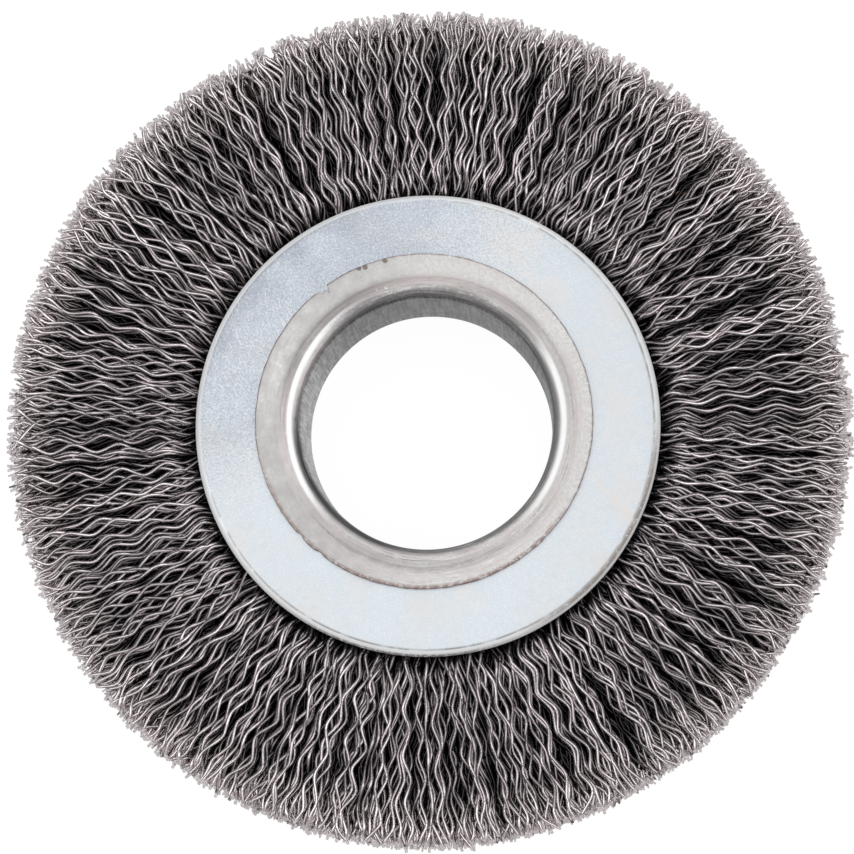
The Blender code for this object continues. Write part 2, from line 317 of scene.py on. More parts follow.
class Graph:
    """A node tree, with short ways to add to it. A value is a number, a vector or a socket."""

    def __init__(self, tree):
        self.tree = tree

    def node(self, kind, **settings):
        made = self.tree.nodes.new(kind)
        for key, value in settings.items():
            setattr(made, key, value)
        return made

    def feed(self, socket, value):
        if isinstance(value, bpy.types.NodeSocket):
            self.tree.links.new(value, socket)
        else:
            socket.default_value = value

    def math(self, operation, first, second=0.0):
        made = self.node("ShaderNodeMath", operation=operation)
        self.feed(made.inputs[0], first)
        self.feed(made.inputs[1], second)
        return made.outputs[0]

    def product(self, *values):
        result = values[0]
        for value in values[1:]:
            result = self.math("MULTIPLY", result, value)
        return result

    def split(self, vector):
        made = self.node("ShaderNodeSeparateXYZ")
        self.feed(made.inputs[0], vector)
        return made.outputs

    def join(self, x, y, z):
        made = self.node("ShaderNodeCombineXYZ")
        for socket, value in zip(made.inputs, (x, y, z)):
            self.feed(socket, value)
        return made.outputs[0]


class Surface(Graph):
    """A Principled material fed by nodes that read the position on the object.

    Directions round the axis, and the widths of sectors, are in degrees.
    """

    def __init__(self, name):
        self.material = bpy.data.materials.new(name)
        self.material.use_nodes = True
        super().__init__(self.material.node_tree)
        self.shader = self.tree.nodes["Principled BSDF"]
        self.position = self.node("ShaderNodeTexCoord").outputs["Object"]

    def set(self, name, value):
        self.feed(self.shader.inputs[name], value)

    def distance(self, x, y):
        return self.math("SQRT", self.math("ADD", self.product(x, x), self.product(y, y)))

    def polar(self):
        """Distance from the wheel's axis, angle round it and height, as three sockets."""
        x, y, z = self.split(self.position)
        return self.distance(x, y), self.math("ARCTAN2", y, x), z

    def flange_radius(self):
        """Distance from the middle of the flange, which is off centre on the front only."""
        x, y, z = self.split(self.position)
        front = self.math("GREATER_THAN", z, MID_PLANE)
        shift_x = self.product(front, FLANGE_OFFSET * math.cos(FLANGE_OFFSET_ANGLE))
        shift_y = self.product(front, FLANGE_OFFSET * math.sin(FLANGE_OFFSET_ANGLE))
        return self.distance(self.math("SUBTRACT", x, shift_x), self.math("SUBTRACT", y, shift_y))

    def noise(self, vector, scale, detail, roughness):
        made = self.node("ShaderNodeTexNoise")
        self.feed(made.inputs["Vector"], vector)
        made.inputs["Scale"].default_value = scale
        made.inputs["Detail"].default_value = detail
        made.inputs["Roughness"].default_value = roughness
        return made.outputs["Fac"]

    def mottle(self, scale, detail, roughness):
        """Noise that is as fine in every direction."""
        return self.noise(self.position, scale, detail, roughness)

    def rings(self, stretch, scale, detail, roughness):
        """Noise drawn out round the axis."""
        radius, angle, _ = self.polar()
        return self.noise(self.join(radius, self.product(angle, stretch), 0.0), scale, detail, roughness)

    def cells(self, scale):
        """Distance from the middle of the nearest of many small cells, in cells."""
        made = self.node("ShaderNodeTexVoronoi")
        self.feed(made.inputs["Vector"], self.position)
        made.inputs["Scale"].default_value = scale
        return made.outputs["Distance"]

    def ramp(self, value, low, high):
        """0 at low, 1 at high, and smooth between them; low may be the larger."""
        made = self.node("ShaderNodeMapRange", interpolation_type="SMOOTHSTEP")
        self.feed(made.inputs["Value"], value)
        made.inputs["From Min"].default_value = min(low, high)
        made.inputs["From Max"].default_value = max(low, high)
        made.inputs["To Min"].default_value = 0.0 if low < high else 1.0
        made.inputs["To Max"].default_value = 1.0 if low < high else 0.0
        return made.outputs["Result"]

    def band(self, value, centre, half_width, softness):
        """1 near the centre value, 0 away from it."""
        away = self.math("ABSOLUTE", self.math("SUBTRACT", value, centre))
        return self.ramp(away, half_width + softness, half_width)

    def zone(self, radius, edge, span):
        """1 from one distance in from an edge on, 0 before another."""
        return self.ramp(radius, edge - span[0], edge - span[1])

    def line(self, radius, edge, line):
        """1 along a circle beside an edge, 0 away from it."""
        away, half_width, softness = line
        return self.band(radius, edge + away, half_width, softness)

    def sector(self, angle, centre, half_width, softness):
        """1 near one direction round the axis, 0 away from it."""
        across = self.math("COSINE", self.math("SUBTRACT", angle, math.radians(centre)))
        inner = math.cos(math.radians(half_width))
        outer = math.cos(math.radians(half_width + softness))
        return self.ramp(across, outer, inner)

    def spot(self, angle, radius, size):
        """1 inside a spot with a frayed edge, in a direction and at a distance from the axis."""
        x, y, _ = self.split(self.position)
        away = self.distance(
            self.math("SUBTRACT", x, radius * math.cos(math.radians(angle))),
            self.math("SUBTRACT", y, radius * math.sin(math.radians(angle))),
        )
        fray = self.product(self.mottle(1600, 3, 0.6), size)
        return self.ramp(self.math("ADD", away, fray), size * 1.5, size * 1.35)

    def mix(self, factor, first, second):
        made = self.node("ShaderNodeMix", data_type="RGBA")
        self.feed(made.inputs["Factor"], factor)
        for socket, value in zip((made.inputs["A"], made.inputs["B"]), (first, second)):
            self.feed(socket, value if isinstance(value, bpy.types.NodeSocket) else (*value, 1.0))
        return made.outputs["Result"]

    def tint(self, colour, mask, strength, paint):
        """The colour with a paint laid over it where the mask is 1, at a strength from 0 to 1."""
        return self.mix(self.product(mask, strength), colour, paint)

    def blend(self, factor, low, high):
        """A number from low to high as the factor goes from 0 to 1."""
        return self.math("ADD", self.product(factor, high - low), low)

    def bump(self, height, distance, strength):
        made = self.node("ShaderNodeBump")
        made.inputs["Strength"].default_value = strength
        made.inputs["Distance"].default_value = distance
        self.feed(made.inputs["Height"], height)
        self.set("Normal", made.outputs["Normal"])


class ZincFinish(Surface):
    """Zinc-plated steel: bluish white, with a painted darker reflection and scratches on the upper left,
    and painted light on its curled rim.
    """

    def __init__(self):
        super().__init__("zinc_plate_finish")
        self.radius, self.angle, _ = self.polar()
        self.cloud = self.mottle(90, 5, 0.6)
        self.patches = self.mottle(600, 5, 0.7)
        self.grain = self.mottle(2800, 3, 0.7)
        self.curl = self.zone(self.radius, PLATE_RADIUS, CURL_ZONE)
        colour = self.rim(self.streak(self.scratched(self.plating())))
        self.set("Base Color", colour)
        self.set("Metallic", self.blend(self.curl, 0.75, 0.05))
        self.set("Roughness", self.blend(self.ramp(self.cloud, 0.3, 0.7), 0.34, 0.46))
        self.bump(self.math("ADD", self.patches, self.product(self.grain, 0.5)), 0.00005, 0.35)

    def plating(self):
        """Clouds, patches and grain over the whole plate."""
        colour = self.mix(self.ramp(self.cloud, 0.35, 0.7), ZINC_BLUE, ZINC_PALE)
        colour = self.tint(colour, self.ramp(self.patches, 0.45, 0.68), 0.42, ZINC_PATCH)
        colour = self.tint(colour, self.ramp(self.grain, 0.50, 0.66), 0.45, ZINC_GRAIN)
        return self.tint(colour, self.ramp(self.mottle(85, 3, 0.6), 0.48, 0.62), 0.45, ZINC_WARM)

    def scratched(self, colour):
        """The upper left, darker with a painted reflection, with a smudge, bright and dark dots and long
        fine scratches.
        """
        uneven = self.blend(self.ramp(self.mottle(190, 4, 0.6), 0.30, 0.62), 0.6, 1.0)
        # Painted reflection: the upper left is darkened as if it mirrored darker surroundings.
        dark_reflection = self.product(self.sector(self.angle, 134, 34, 36), uneven)
        colour = self.tint(colour, dark_reflection, 0.72, ZINC_DARK_REFLECTION)
        smudge = self.product(
            self.sector(self.angle, 134, 20, 18),
            self.ramp(self.radius, *SMUDGE_RADII),
            self.ramp(self.cloud, 0.36, 0.60),
        )
        colour = self.tint(colour, smudge, 0.45, ZINC_SMUDGE)
        rough = self.sector(self.angle, 128, 50, 36)
        sparkle = self.product(rough, self.ramp(self.grain, 0.52, 0.62))
        colour = self.tint(colour, sparkle, 0.42, ZINC_SPARKLE)
        dots = self.product(rough, self.ramp(self.grain, 0.45, 0.36))
        colour = self.tint(colour, dots, 0.55, ZINC_DOT)
        slanted = self.math("ADD", self.angle, self.product(self.radius, 22.0))
        across = self.join(self.product(slanted, 0.35), self.product(self.radius, 0.3), 0.0)
        lines = self.ramp(self.noise(across, 900, 2, 0.4), 0.62, 0.66)
        scratches = self.product(self.sector(self.angle, 155, 12, 12), lines)
        return self.tint(colour, scratches, 0.7, ZINC_SCRATCH)

    def streak(self, colour):
        """A beige streak that crosses the right of the plate on a slant."""
        slanted = self.math("ADD", self.angle, self.product(self.radius, 11.8))
        broken = self.ramp(self.mottle(700, 4, 0.7), 0.36, 0.60)
        streak = self.product(self.band(slanted, 0.085, 0.006, 0.022), broken)
        return self.tint(colour, streak, 0.55, ZINC_STREAK)

    def rim(self, colour):
        """The curl, with painted light but less on the upper left, a brownish inner line, dirt and painted
        shade at the lower right, painted shade under the bottom of the edge and a painted highlight along
        the edge.
        """
        edge = self.zone(self.radius, PLATE_RADIUS, RIM_EDGE_ZONE)
        elsewhere = self.blend(self.sector(self.angle, 140, 40, 30), 1.0, 0.0)
        # Painted light on the curl, weaker on the upper left.
        lit_curl = self.product(self.curl, self.blend(elsewhere, 0.70, 0.96))
        colour = self.mix(lit_curl, colour, RIM_LIGHT_PAINT)
        grime_and_shade_noise = self.mottle(1200, 4, 0.75)
        inner_line = self.line(self.radius, PLATE_RADIUS, RIM_INNER_LINE)
        # A darker brownish line inside the curl, broken up by noise.
        brown_line = self.product(inner_line, self.ramp(self.mottle(260, 3, 0.6), 0.38, 0.56), elsewhere)
        colour = self.tint(colour, brown_line, 0.65, RIM_LINE_BROWN)
        # Dirt and painted shade on the curl at the lower right, which faces away from the light.
        dirt_and_shade = self.product(
            self.curl,
            self.sector(self.angle, -32, 12, 24),
            self.math("SUBTRACT", 1.0, edge),
            self.ramp(grime_and_shade_noise, 0.25, 0.50),
        )
        colour = self.tint(colour, dirt_and_shade, 0.9, RIM_DIRT_AND_SHADE)
        # Painted shade under the bottom of the plate's edge.
        under = self.product(edge, self.sector(self.angle, -90, 16, 26), self.ramp(grime_and_shade_noise, 0.36, 0.54))
        colour = self.tint(colour, under, 0.85, RIM_PAINTED_SHADE)
        # Painted highlight along the plate's edge, everywhere but round the bottom.
        bright = self.product(edge, self.sector(self.angle, 60, 125, 25))
        return self.mix(bright, colour, RIM_HIGHLIGHT)


class SleeveFinish(Surface):
    """Rolled steel: a satin flange, a roll with a painted highlight, a mouth with scuffs and painted shade,
    and a scratched bore in painted shade.
    """

    def __init__(self):
        super().__init__("sleeve_finish")
        self.radius, self.angle, self.height = self.polar()
        self.from_flange = self.flange_radius()
        self.turned = self.rings(0.0009, 2300, 4, 0.7)
        self.flecks = self.mottle(1500, 4, 0.75)
        self.blotches = self.mottle(300, 4, 0.65)
        self.lower_right = self.sector(self.angle, -50, 70, 40)
        self.roll = self.zone(self.radius, STEP_END, ROLL_ZONE)
        self.inside = self.zone(self.radius, BORE_RADIUS, BORE_ZONE)
        around = self.product(self.angle, BORE_RADIUS)
        self.scratches = self.noise(self.join(around, self.product(self.height, 0.05), 0.0), 1500, 4, 0.75)
        colour = self.bore(self.flange_edge(self.mouth(self.rolled(self.satin()))))
        self.set("Base Color", colour)
        self.set("Metallic", 0.8)
        satin = self.blend(self.ramp(self.flecks, 0.3, 0.7), 0.34, 0.48)
        self.set("Roughness", self.math("ADD", satin, self.product(self.lower_right, 0.16)))
        grooves = self.product(self.turned, self.roll)
        relief = self.math("ADD", grooves, self.product(self.scratches, self.inside))
        self.bump(self.math("ADD", relief, self.product(self.flecks, 0.5)), 0.00006, 0.6)

    def satin(self):
        """The flange's grey: lines dragged round the lower left, tarnish with painted shade on the left,
        and warm lower right.
        """
        colour = self.mix(self.ramp(self.flecks, 0.36, 0.66), STEEL_GREY, STEEL_PALE)
        colour = self.tint(colour, self.ramp(self.blotches, 0.45, 0.75), 0.4, STEEL_BLOTCH)
        dragged = self.rings(0.0030, 3000, 3, 0.6)
        lower_left = self.sector(self.angle, 232, 80, 40)
        scored = self.product(lower_left, self.ramp(dragged, 0.56, 0.66))
        colour = self.tint(colour, scored, 0.55, STEEL_SCORE)
        polished = self.product(lower_left, self.ramp(dragged, 0.44, 0.34))
        colour = self.tint(colour, polished, 0.45, STEEL_POLISH)
        # Tarnish and painted shade on the left of the flange.
        tarnish_and_shade = self.product(self.sector(self.angle, 180, 55, 40), self.ramp(self.blotches, 0.10, 0.80))
        colour = self.mix(tarnish_and_shade, colour, STEEL_TARNISH_AND_SHADE)
        warm = self.product(
            self.lower_right,
            self.zone(self.from_flange, FLANGE_RADIUS, FLANGE_WARM_ZONE),
            self.ramp(self.turned, 0.3, 0.7),
            self.blend(self.flecks, 0.4, 1.0),
        )
        return self.mix(warm, colour, STEEL_WARM)

    def rolled(self, colour):
        """The roll, in painted shade at the top and darker on the left, with pinkish rings, dark lines and
        a painted highlight on the crest.
        """
        outside = self.zone(self.radius, CREST_START, ROLL_OUTSIDE_ZONE)
        # Painted shade at the top of the roll; the left is darker as well.
        top = self.sector(self.angle, 88, 24, 32)
        roll_top_shade = self.product(top, self.blend(self.roll, 0.25, 0.85), outside)
        darker_left = self.product(self.sector(self.angle, 203, 12, 16), outside, 0.35)
        colour = self.mix(self.math("MAXIMUM", roll_top_shade, darker_left), colour, ROLL_SHADE_DARK)
        elsewhere = self.math("SUBTRACT", 1.0, self.lower_right)
        pinkish = self.product(self.roll, self.ramp(self.turned, 0.36, 0.60), elsewhere)
        colour = self.tint(colour, pinkish, 0.65, ROLL_PINK)
        fine_rings = self.ramp(self.rings(0.0004, 5200, 2, 0.5), 0.60, 0.68)
        lines = self.product(self.roll, fine_rings, self.ramp(self.blotches, 0.36, 0.56))
        colour = self.tint(colour, lines, 0.8, ROLL_LINE)
        # Painted highlight along the crest, on the left and on the right.
        crest_highlight = self.product(
            self.line(self.radius, CREST_START, ROLL_HIGHLIGHT_LINE),
            self.math("MAXIMUM", self.sector(self.angle, 172, 30, 26), self.sector(self.angle, -4, 20, 26)),
        )
        return self.mix(crest_highlight, colour, ROLL_HIGHLIGHT)

    def mouth(self, colour):
        """The mouth, with scuffs and painted shade at the top, painted shade lower left and right, and
        bright nicks on its brink.
        """
        worn = self.math("ADD", self.product(self.turned, 0.6), self.product(self.flecks, 0.4))
        # Scuffs and painted shade at the top of the mouth.
        scuffs_and_shade = self.product(
            self.zone(self.radius, CREST_START, MOUTH_SCUFF_SHADE_ZONE),
            self.sector(self.angle, 86, 30, 34),
            self.ramp(worn, 0.36, 0.54),
        )
        colour = self.tint(colour, scuffs_and_shade, 0.8, MOUTH_SCUFF_AND_SHADE)
        partly = self.product(self.sector(self.angle, -32, 62, 34), 0.62)
        dim = self.math("MAXIMUM", partly, self.sector(self.angle, 222, 22, 34))
        within = self.zone(self.radius, BORE_RADIUS, MOUTH_ZONE)
        shaded = self.product(within, dim, self.ramp(self.turned, 0.28, 0.48))
        colour = self.tint(colour, shaded, 0.92, MOUTH_SHADE)
        nicks = self.product(
            self.line(self.radius, CREST_START, MOUTH_NICK_LINE),
            self.math("MAXIMUM", self.sector(self.angle, -46, 10, 18), self.sector(self.angle, 107, 2, 6)),
            self.ramp(self.mottle(1500, 3, 0.7), 0.61, 0.66),
        )
        return self.mix(nicks, colour, MOUTH_NICK)

    def flange_edge(self, colour):
        """The edge of the flange, with stains and a painted shadow along it, and specks and chips beside
        it.
        """
        edge = self.zone(self.from_flange, FLANGE_RADIUS, FLANGE_STAIN_SHADOW_ZONE)
        wide_edge = self.zone(self.from_flange, FLANGE_RADIUS, FLANGE_WIDE_STAIN_SHADOW_ZONE)
        edge = self.math("MAXIMUM", edge, self.product(wide_edge, self.sector(self.angle, 262, 50, 26)))
        # Stains and a painted shadow along the flange's edge, wider at the bottom.
        stain_and_shadow = self.product(edge, self.ramp(self.mottle(900, 5, 0.75), 0.34, 0.56))
        colour = self.tint(colour, stain_and_shadow, 0.85, STEEL_STAIN_AND_SHADOW)
        specks = self.product(
            self.zone(self.from_flange, FLANGE_RADIUS, FLANGE_SPECK_ZONE),
            self.ramp(self.mottle(1300, 2, 0.5), 0.755, 0.775),
        )
        for chip in CHIPS:
            specks = self.math("MAXIMUM", specks, self.spot(*chip))
        return self.tint(colour, specks, 0.9, STEEL_CHIP)

    def bore(self, colour):
        """The bore's wall, scratched along the axis, in painted shade that is darkest at the top, with a
        dark lower rim.
        """
        wear = self.ramp(self.mottle(240, 3, 0.6), 0.36, 0.60)
        rubbed = self.product(self.ramp(self.scratches, 0.42, 0.58), self.blend(wear, 0.40, 1.0))
        # Painted shade on the bore's wall, darkest at the top, over its scratches.
        top = self.sector(self.angle, 88, 30, 56)
        shaded_raised = self.mix(top, BORE_SHADED_RAISED, BORE_TOP_SHADED_RAISED)
        worn = self.mix(rubbed, self.mix(top, BORE_SHADED_DEEP, BORE_TOP_SHADED_DEEP), shaded_raised)
        turning = self.noise(self.join(self.product(self.angle, 0.004), self.height, 0.0), 500, 3, 0.6)
        worn = self.tint(worn, self.ramp(turning, 0.50, 0.65), 0.3, shaded_raised)
        colour = self.mix(self.inside, colour, worn)
        brink = self.line(self.radius, BORE_RADIUS, BORE_RIM_LINE)
        return self.tint(colour, self.product(brink, self.sector(self.angle, -60, 80, 30)), 0.8, BORE_RIM)


def core_material():
    """The dull drawn wire of the core ring."""
    surface = Surface("core_finish")
    streaks = surface.mottle(1500, 4, 0.6)
    surface.set("Base Color", surface.mix(surface.ramp(streaks, 0.3, 0.7), CORE_DARK, CORE_LIGHT))
    surface.set("Metallic", 0.9)
    surface.set("Roughness", 0.45)
    surface.bump(streaks, 0.00004, 0.4)
    return surface.material


def wire_material():
    """Drawn steel wire: warm grey, in painted shade down in the fill, paler at the tips, with rusty specks.
    """
    surface = Surface("wire_finish")
    look = surface.node("ShaderNodeAttribute", attribute_name="look")
    tone, depth_shade, tip = surface.split(look.outputs["Color"])
    streaks = surface.mottle(420, 3, 0.6)
    colour = surface.mix(tone, WIRE_GREY, WIRE_BRIGHT)
    colour = surface.tint(colour, surface.ramp(streaks, 0.44, 0.66), 0.35, WIRE_WORN)
    # Painted shade deep in the fill and under the plates' lips.
    colour = surface.tint(colour, depth_shade, 0.95, WIRE_DEPTH_SHADE)
    colour = surface.tint(colour, tip, 0.75, WIRE_TIP)
    colour = surface.tint(colour, surface.ramp(surface.mottle(160, 3, 0.6), 0.71, 0.77), 0.5, WIRE_RUST)
    surface.set("Base Color", colour)
    surface.set("Metallic", 0.95)
    surface.set("Roughness", surface.blend(surface.ramp(streaks, 0.3, 0.7), 0.18, 0.30))
    surface.bump(streaks, 0.00003, 0.3)
    return surface.material


def end_material():
    """Sheared wire ends, packed side by side: pale and pinkish, with painted shade in the dark spaces
    between them.
    """
    surface = Surface("wire_end_finish")
    colour = surface.mix(surface.ramp(surface.mottle(900, 3, 0.6), 0.35, 0.65), END_GREY, END_PALE)
    # Painted shade in the spaces between the packed ends, also used as their bump.
    shaded_gaps = surface.ramp(surface.cells(END_CELLS), 0.42, 0.62)
    surface.set("Base Color", surface.mix(shaded_gaps, colour, END_GAP_SHADE))
    surface.set("Metallic", 0.5)
    surface.set("Roughness", 0.5)
    surface.bump(shaded_gaps, 0.00015, 0.6)
    return surface.material


def floor_material():
    """White paper: it shows white to the camera and in reflections, and keeps a soft shadow."""
    material = bpy.data.materials.new("floor_white")
    material.use_nodes = True
    graph = Graph(material.node_tree)
    graph.tree.nodes.clear()
    paper = graph.node("ShaderNodeBsdfDiffuse")
    paper.inputs["Color"].default_value = (*FLOOR_PAPER, 1.0)
    glow = graph.node("ShaderNodeEmission")
    glow.inputs["Strength"].default_value = FLOOR_GLOW
    ray = graph.node("ShaderNodeLightPath").outputs
    seen = graph.math("MAXIMUM", ray["Is Camera Ray"], ray["Is Glossy Ray"])
    seen = graph.math("MAXIMUM", seen, ray["Is Transmission Ray"])
    mixed = graph.node("ShaderNodeMixShader")
    graph.feed(mixed.inputs["Fac"], graph.product(seen, FLOOR_GLOW_SHARE))
    graph.feed(mixed.inputs[1], paper.outputs[0])
    graph.feed(mixed.inputs[2], glow.outputs[0])
    output = graph.node("ShaderNodeOutputMaterial")
    graph.feed(output.inputs["Surface"], mixed.outputs[0])
    return material


def add_mesh(name, points, faces, materials):
    """A smooth-shaded mesh object from arrays of points and faces."""
    mesh = bpy.data.meshes.new(name)
    mesh.from_pydata(points.tolist(), [], faces)
    for material in materials:
        mesh.materials.append(material)
    made = bpy.data.objects.new(name, mesh)
    bpy.context.collection.objects.link(made)
    mesh.shade_smooth()
    return made


def finish_piece(piece, slot, *nodes):
    """The piece stands for these CAD nodes and moves with the brush."""
    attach(piece, "root")
    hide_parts(*nodes)


def ring_faces(rows, columns):
    """Quads of a grid that closes on itself both ways."""
    faces = []
    for row in range(rows):
        below = row * columns
        above = (row + 1) % rows * columns
        for column in range(columns):
            following = (column + 1) % columns
            faces.append((below + column, above + column, above + following, below + following))
    return faces


def arc(centre, radius, start, end, segments):
    """Points along an arc between two angles in degrees."""
    angles = np.radians(np.linspace(start, end, segments + 1))
    return [(centre[0] + radius * math.cos(a), centre[1] + radius * math.sin(a)) for a in angles]


def turned(name, profile, segments, reshape, material):
    """Turn a closed profile of (radius, height above the mid-plane) points round the axis.

    reshape takes the radius, height and angle arrays and returns the radius and height to use.
    """
    angles = np.arange(segments) / segments * math.tau
    section = np.array(profile)
    radius, angle = np.meshgrid(section[:, 0], angles)
    height, _ = np.meshgrid(section[:, 1], angles)
    radius, height = reshape(radius, height, angle)
    points = np.stack([radius * np.cos(angle), radius * np.sin(angle), MID_PLANE + height], axis=-1)
    made = add_mesh(name, points.reshape(-1, 3), ring_faces(segments, len(profile)), [material])
    made.data.set_sharp_from_angle(angle=SHARP_ANGLE)
    return made


def roll_slope(inner, outer, top, bottom):
    """Points down the outside of the roll: an S-curve with two faint pressed rings in it."""
    points = []
    for step in range(1, SLOPE_SEGMENTS + 1):
        share = step / SLOPE_SEGMENTS
        fall = share**2 * (3 - 2 * share)
        ring = RING_GROOVE if step in RING_STEPS else 0
        points.append((inner + (outer - inner) * share, top + (bottom - top) * fall - ring))
    return points


def sleeve_profile():
    """Closed section of the sleeve: up the bore, over the roll, out along the flange and back."""
    bend_centre = (CREST_START, HUB_HALF - MOUTH_RADIUS)
    face = HUB_HALF - FLANGE_DROP
    back = face - FLANGE_THICKNESS
    upper_edge = (FLANGE_RADIUS - FLANGE_EDGE, face - FLANGE_EDGE)
    lower_edge = (FLANGE_RADIUS - FLANGE_EDGE, back + FLANGE_EDGE)
    half = (
        [(BORE_RADIUS, 0.0), (BORE_RADIUS, bend_centre[1] / 2)]
        + arc(bend_centre, MOUTH_RADIUS, 180, 90, BEND_SEGMENTS)
        + roll_slope(CREST_START, STEP_END + STEP_WIDTH, HUB_HALF, face)
        + [((STEP_END + FLANGE_RADIUS) / 2, face)]
        + arc(upper_edge, FLANGE_EDGE, 90, 0, EDGE_SEGMENTS)
        + arc(lower_edge, FLANGE_EDGE, 0, -90, EDGE_SEGMENTS)
        + [(STEP_END, back), (CREST_START + CREST_WIDTH, HUB_HALF - SLEEVE_WALL)]
        + arc(bend_centre, MOUTH_RADIUS - SLEEVE_WALL, 90, 180, BEND_SEGMENTS // 2)
    )
    mirrored = [(radius, -height) for radius, height in reversed(half)]
    return half + mirrored[:-1]


def angle_from(angle, centre):
    """Signed angle from a direction, between -pi and pi."""
    return (angle - centre + math.pi) % math.tau - math.pi


def edge_loss(angle, rng):
    """How far the torn, bitten and ragged edge of the front flange lies inside its circle."""
    away = angle_from(angle, TEAR_ANGLE)
    ramp = np.clip(1 - away / TEAR_RAMP, 0, 1) ** TEAR_POWER
    jag = 1 - TEAR_JAG + TEAR_JAG * np.sin(away * TEAR_TEETH)
    loss = TEAR_DEPTH * np.where(away < 0, 0, ramp * jag)
    for bite in BITE_ANGLES:
        loss = loss + BITE_DEPTH * np.clip(1 - np.abs(angle_from(angle, bite)) / BITE_WIDTH, 0, 1)
    for waves in EDGE_WAVES:
        loss = loss + RAGGED_EDGE / len(EDGE_WAVES) * (1 + np.sin(angle * waves + rng.uniform(0, math.tau)))
    return loss


def make_sleeve():
    rng = np.random.default_rng(SEED)

    def torn(radius, height, angle):
        share = np.clip((radius - STEP_END) / (FLANGE_RADIUS - STEP_END), 0, 1)
        loss = np.where(height > 0, edge_loss(angle, rng), RAGGED_EDGE)
        shift = np.where(height > 0, FLANGE_OFFSET * np.cos(angle - FLANGE_OFFSET_ANGLE), 0)
        flare = np.where(height > HUB_HALF / 2, MOUTH_FLARE / 2, 0)
        flare = flare * (1 + np.cos(angle - MOUTH_FLARE_ANGLE))
        flare = flare * np.clip(1 - (radius - BORE_RADIUS) / MOUTH_RADIUS, 0, 1)
        return radius + share * (shift - loss) + flare, height

    sleeve = turned("sleeve_rolled", sleeve_profile(), SLEEVE_SEGMENTS, torn, SleeveFinish().material)
    finish_piece(sleeve, "sleeve_steel", "hub_sleeve")


def make_plate(name, node, side, material):
    """One plate, with two slow swells in its face; side is 1 for the front and -1 for the rear."""
    bend_centre = (PLATE_RADIUS - PLATE_RIM_RADIUS, PLATE_LIP)
    face_radii = np.linspace(PLATE_BORE_RADIUS, bend_centre[0], PLATE_FACE_ROWS + 1)[:-1]
    profile = (
        [(radius, PLATE_FACE) for radius in face_radii]
        + arc(bend_centre, PLATE_RIM_RADIUS, 90, 0, BEND_SEGMENTS)
        + arc(bend_centre, PLATE_RIM_RADIUS - PLATE_THICKNESS, 0, 90, BEND_SEGMENTS // 2)
        + [(PLATE_BORE_RADIUS, PLATE_FACE - PLATE_THICKNESS)]
    )
    if side < 0:
        profile = [(radius, -height) for radius, height in reversed(profile)]

    def wavy(radius, height, angle):
        swell = np.sin(angle * 3 + 1.1) + np.sin(angle * 5 - radius * 160 + 0.4)
        inner = np.clip((bend_centre[0] - radius) / SWELL_FADE, 0, 1)
        return radius, height - side * PLATE_WAVINESS * (swell + 2) / 4 * inner

    plate = turned(name, profile, PLATE_SEGMENTS, wavy, material)
    finish_piece(plate, "zinc_plate", node)


def fill_half(radius, place):
    """Half the thickness of the wire fill at a radius; place runs from -0.5 to 0.5 across a tuft.

    The face of the fill falls away between the locks of a tuft.
    """
    lip = PLATE_LIP - WIRE_RADIUS
    share = np.clip((radius - PLATE_RADIUS) / (CROWN_START - PLATE_RADIUS), 0, 1)
    flare = lip + (FILL_HALF - lip) * np.sin(share * math.pi / 2)
    crown = np.clip((radius - CROWN_START) / (OUTER_RADIUS - CROWN_START), 0, 1)
    dip = LOCK_DIP * np.abs(2 * ((place + 0.5) * LOCKS % 1) - 1)
    return flare - (FILL_HALF - TIP_HALF) / 2 * crown**2 - dip * np.minimum(share * LOCK_DIP_GROWTH, 1)


def crimp_wave(turns):
    """A rounded zigzag between -1 and 1."""
    zigzag = np.cos(math.tau * turns) + CRIMP_THIRD_WAVE * np.cos(3 * math.tau * turns)
    return -zigzag / (1 + CRIMP_THIRD_WAVE)


def trim_of(number):
    """How far a tuft lies towards the ragged side of the wheel, from -1 to 1."""
    return math.cos(number * TUFT_PITCH - TRIM_DIRECTION)


def ragged_between(number, spreads):
    """A spread for the tips of a tuft, of the two that hold for the even side and the ragged one."""
    return np.interp(((trim_of(number) + 1) / 2) ** RAGGED_POWER, (0, 1), spreads)


def draw_locks(number, layer):
    """The phase, drift, lean, crimp length and tip radius that the wires of each lock share."""
    rng = np.random.default_rng([SEED, number, layer.facing + 1])
    phase = number * PHASE_WAVES / TUFT_COUNT + rng.normal(0, LOCK_PHASE, LOCKS)
    drift = rng.normal(0, LOCK_DRIFT, LOCKS)
    tilt = rng.normal(0, LOCK_TILT, LOCKS)
    length = CRIMP_LENGTH * rng.uniform(*LOCK_LENGTHS, LOCKS)
    ragged = ragged_between(number, TRIM_RAGGED)
    tip = rng.normal(0, ragged * TUFT_RAGGED_SHARE) + rng.normal(0, ragged * LOCK_RAGGED_SHARE, LOCKS)
    if layer.start == STUB_START:
        tip = tip * STUB_RAGGED_SHARE - np.interp(trim_of(number), (-1, 1), STUB_SHORTENING)
    tip = tip + TRIM_OFFSET * trim_of(number) - TRIM_OVAL * math.cos(2 * number * TUFT_PITCH)
    return Locks(phase, drift, tilt, length, TIP_RADIUS + tip)


